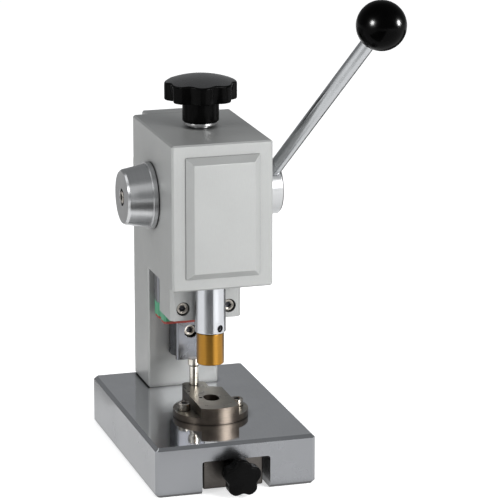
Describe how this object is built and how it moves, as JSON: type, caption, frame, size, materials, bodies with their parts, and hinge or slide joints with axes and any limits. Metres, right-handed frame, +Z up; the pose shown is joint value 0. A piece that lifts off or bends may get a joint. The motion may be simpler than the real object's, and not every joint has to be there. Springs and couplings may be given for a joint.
{
  "type": "hand lever rivet press",
  "caption": "Bench hand press: ground steel base, column and box head, side lever geared to a ram on a linear guide over a bolted die plate, star knobs on top and in front.",
  "frame": {"origin": "centre of the base plate's underside", "axes": "+Z up, the die and the front knob face -Y, the hand lever is on the +X side"},
  "size_m": [0.1644, 0.2028, 0.327],
  "materials": {
    "satin_silver": "satin silver coating",
    "ground_steel": "ground and polished",
    "turned_steel": "fine turned",
    "chrome": "hard chrome",
    "die_steel": "hardened, bronze grey",
    "dark_steel": "dark ground",
    "screw_steel": "nickel plated",
    "brass": "satin",
    "black_gloss": "moulded gloss",
    "green_plastic": "moulded",
    "red_rubber": "matt",
    "spring_steel": "oiled"
  },
  "bodies": {
    "frame": {"column": "satin_silver", "head_housing": "satin_silver", "front_panel": "satin_silver", "base_plate": "ground_steel", "clamp_block": "ground_steel", "knob_seat_ring": "chrome", "guide_post": "chrome", "die_plate": "die_steel", "linear_rail": "dark_steel", "column_bolt_1": "screw_steel", "column_bolt_2": "screw_steel", "head_bolt_1": "screw_steel", "head_bolt_2": "screw_steel", "head_bolt_3": "screw_steel", "head_bolt_4": "screw_steel", "panel_screw_1": "screw_steel", "panel_screw_2": "screw_steel", "panel_screw_3": "screw_steel", "panel_screw_4": "screw_steel", "rail_screw_1": "screw_steel", "rail_screw_2": "screw_steel", "rail_screw_3": "screw_steel", "die_screw_1": "screw_steel", "die_screw_2": "screw_steel", "clamp_screw_1": "screw_steel", "clamp_screw_2": "screw_steel", "left_bushing": "brass", "right_bushing": "brass"},
    "ram_slide": {"carriage_body": "dark_steel", "lower_end_cap": "green_plastic", "upper_end_cap": "green_plastic", "lower_end_seal": "red_rubber", "upper_end_seal": "red_rubber", "slider_block": "satin_silver", "ram": "chrome", "pusher": "brass", "ram_set_screw": "dark_steel", "slider_screw_1": "screw_steel", "slider_screw_2": "screw_steel", "slider_screw_3": "screw_steel", "slider_screw_4": "screw_steel", "ram_screw_1": "screw_steel", "ram_screw_2": "screw_steel"},
    "lever_shaft": {"cross_shaft": "turned_steel", "pinion": "dark_steel", "pinion_key": "screw_steel", "cone_cap": "turned_steel", "cap_screw": "screw_steel", "return_spring": "spring_steel", "lever_hub": "turned_steel", "hub_set_screw": "dark_steel", "lever_rod": "chrome", "ball_knob": "black_gloss"},
    "brake_shoe": {"brake_shoe": "brass"},
    "top_knob": {"top_knob": "black_gloss", "lock_spindle": "screw_steel"},
    "clamp_pad": {"clamp_pad": "brass"},
    "front_knob": {"front_knob": "black_gloss", "clamp_stud": "screw_steel"}
  },
  "joints": [
    {"name": "lever_turn", "type": "hinge", "parent": "frame", "child": "lever_shaft", "pos_m": [0, -0.002, 0.1845], "axis": [1, 0, 0], "range_deg": [0, 98], "stiffness_Nm_per_rad": 0.25, "springref_deg": -91.67},
    {"name": "ram_travel", "type": "slide", "parent": "frame", "child": "ram_slide", "axis": [0, 0, -1], "range_m": [0, 0.024]},
    {"name": "top_knob_turn", "type": "hinge", "parent": "brake_shoe", "child": "top_knob", "pos_m": [0, -0.002, 0.25], "axis": [0, 0, 1], "range_deg": [0, 720]},
    {"name": "brake_lift", "type": "slide", "parent": "frame", "child": "brake_shoe", "axis": [0, 0, 1], "range_m": [0, 0.003]},
    {"name": "front_knob_turn", "type": "hinge", "parent": "clamp_pad", "child": "front_knob", "pos_m": [0, -0.09, 0.01385], "axis": [0, -1, 0], "range_deg": [0, 720]},
    {"name": "clamp_travel", "type": "slide", "parent": "frame", "child": "clamp_pad", "axis": [0, -1, 0], "range_m": [0, 0.0025]}
  ],
  "couplings": [
    {"joint": "ram_travel", "follows": "lever_turn", "m_per_rad": 0.014},
    {"joint": "top_knob_turn", "follows": "brake_lift", "rad_per_m": 4188.7},
    {"joint": "front_knob_turn", "follows": "clamp_travel", "rad_per_m": 5026.5}
  ]
}
